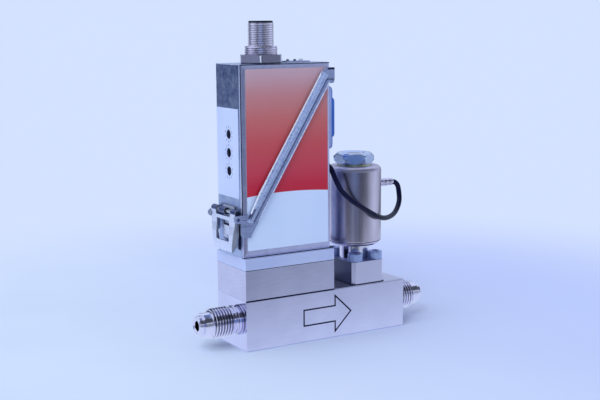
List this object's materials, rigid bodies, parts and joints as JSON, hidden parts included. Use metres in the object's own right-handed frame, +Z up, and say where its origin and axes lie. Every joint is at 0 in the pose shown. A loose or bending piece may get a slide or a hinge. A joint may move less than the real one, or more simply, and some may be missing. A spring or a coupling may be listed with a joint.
{
  "type": "thermal mass flow meter",
  "caption": "Thermal mass flow meter: electronics housing held by a bail latch on a steel flow body with face-seal ports and a solenoid control valve.",
  "frame": {"origin": "middle of the flow body's underside, between its two mounting holes", "axes": "+X along the flow towards the outlet, +Y from the labelled front to the back, +Z up along the connector"},
  "size_m": [0.124, 0.0321, 0.1484],
  "materials": {
    "body_steel": "ground and lightly polished stainless steel",
    "fitting_steel": "turned, bright",
    "inner_steel": "turned, plain",
    "screw_steel": "zinc plated, knurled heads",
    "plate_aluminium": "machined, fine lines, satin",
    "inner_aluminium": "plain",
    "housing_metal": "mottled satin metal",
    "front_label_print": "red to pale orange gradient over white, no words",
    "side_label_print": "white film with plain dial numbers",
    "board_laminate": "green laminate",
    "black_plastic": "black, matt",
    "switch_plastic": "moulded, plain",
    "rotor_plastic": "dark rotor with a slot",
    "connector_nickel": "nickel plated brass",
    "contact_gold": "gold plated",
    "blue_plastic": "moulded blue",
    "lamp_lens": "dark clear lens",
    "button_plastic": "pale",
    "latch_zinc": "zinc plated, lightly textured",
    "valve_brass": "turned",
    "valve_chrome": "polished",
    "winding_varnish": "varnished wire taken as one body",
    "can_steel": "brushed, slightly brown, upright grain",
    "nut_zinc": "blue zinc plated",
    "seal_rubber": "black",
    "lead_jacket": "near-black jacket, smooth"
  },
  "bodies": {
    "meter": {"flow_body": "body_steel", "inlet_fitting": "fitting_steel", "outlet_fitting": "fitting_steel", "inlet_filter": "inner_steel", "laminar_rod": "inner_steel", "laminar_discs": "inner_steel", "sensor_block": "body_steel", "sensor_block_seals": "seal_rubber", "block_screws": "screw_steel", "sensor_flange": "inner_steel", "sensor_tube": "inner_steel", "sensor_windings": "winding_varnish", "sensor_cap": "inner_aluminium", "base_plate": "plate_aluminium", "housing_shell": "housing_metal", "housing_cover": "housing_metal", "front_label": "front_label_print", "side_label": "side_label_print", "circuit_board": "board_laminate", "board_components": "black_plastic", "rotary_switch_bodies": "switch_plastic", "m12_shell": "connector_nickel", "m12_seal": "seal_rubber", "m12_nut": "connector_nickel", "m12_insert": "black_plastic", "m12_contacts": "contact_gold", "dsub_shell": "connector_nickel", "dsub_insert": "black_plastic", "dsub_contacts": "contact_gold", "dsub_jack_screws": "screw_steel", "indicator_plate": "housing_metal", "status_leds": "lamp_lens", "latch_bracket": "latch_zinc", "latch_pin": "latch_zinc", "valve_block": "body_steel", "valve_block_seal": "seal_rubber", "valve_block_screws": "screw_steel", "valve_seat": "valve_brass", "valve_sleeve": "valve_chrome", "valve_core": "inner_steel", "plunger_spring": "inner_steel", "coil_bobbin": "switch_plastic", "coil_winding": "winding_varnish", "coil_can": "can_steel", "coil_ring": "connector_nickel", "coil_washer": "connector_nickel", "coil_nut": "nut_zinc", "lead_gland": "connector_nickel", "coil_lead": "lead_jacket", "lead_grommet": "seal_rubber"},
    "lever": {"latch_lever": "latch_zinc", "bail_pivots": "latch_zinc"},
    "bail": {"bail": "latch_zinc"},
    "rotor_1": {"switch_rotor_1": "rotor_plastic"},
    "rotor_2": {"switch_rotor_2": "rotor_plastic"},
    "rotor_3": {"switch_rotor_3": "rotor_plastic"},
    "button": {"push_button": "button_plastic"},
    "cap": {"dust_cap": "blue_plastic"},
    "plunger": {"valve_plunger": "inner_steel"}
  },
  "joints": [
    {"name": "latch_hinge", "type": "hinge", "parent": "meter", "child": "lever", "pos_m": [-0.0457, 0, 0.0633], "axis": [0, 1, 0], "range_deg": [0, 150]},
    {"name": "bail_hinge", "type": "hinge", "parent": "lever", "child": "bail", "pos_m": [-0.0465, 0, 0.0609], "axis": [0, 1, 0], "range_deg": [-146, 0]},
    {"name": "rotor_1_turn", "type": "hinge", "parent": "meter", "child": "rotor_1", "pos_m": [-0.0435, 0, 0.09795], "axis": [1, 0, 0], "continuous": true},
    {"name": "rotor_2_turn", "type": "hinge", "parent": "meter", "child": "rotor_2", "pos_m": [-0.0435, 0, 0.0896], "axis": [1, 0, 0], "continuous": true},
    {"name": "rotor_3_turn", "type": "hinge", "parent": "meter", "child": "rotor_3", "pos_m": [-0.0435, 0, 0.08125], "axis": [1, 0, 0], "continuous": true},
    {"name": "button_press", "type": "slide", "parent": "meter", "child": "button", "axis": [0, 0, -1], "range_m": [0, 0.0004], "stiffness_N_per_m": 1000, "springref_m": -0.0005},
    {"name": "cap_pull", "type": "slide", "parent": "meter", "child": "cap", "axis": [1, 0, 0], "range_m": [0, 0.012]},
    {"name": "plunger_lift", "type": "slide", "parent": "meter", "child": "plunger", "axis": [0, 0, 1], "range_m": [0, 0.0004], "stiffness_N_per_m": 1500, "springref_m": -0.001, "deforming": ["plunger_spring"]}
  ],
  "couplings": [
    {"joint": "bail_hinge", "follows": "latch_hinge", "ratio": -0.97}
  ]
}
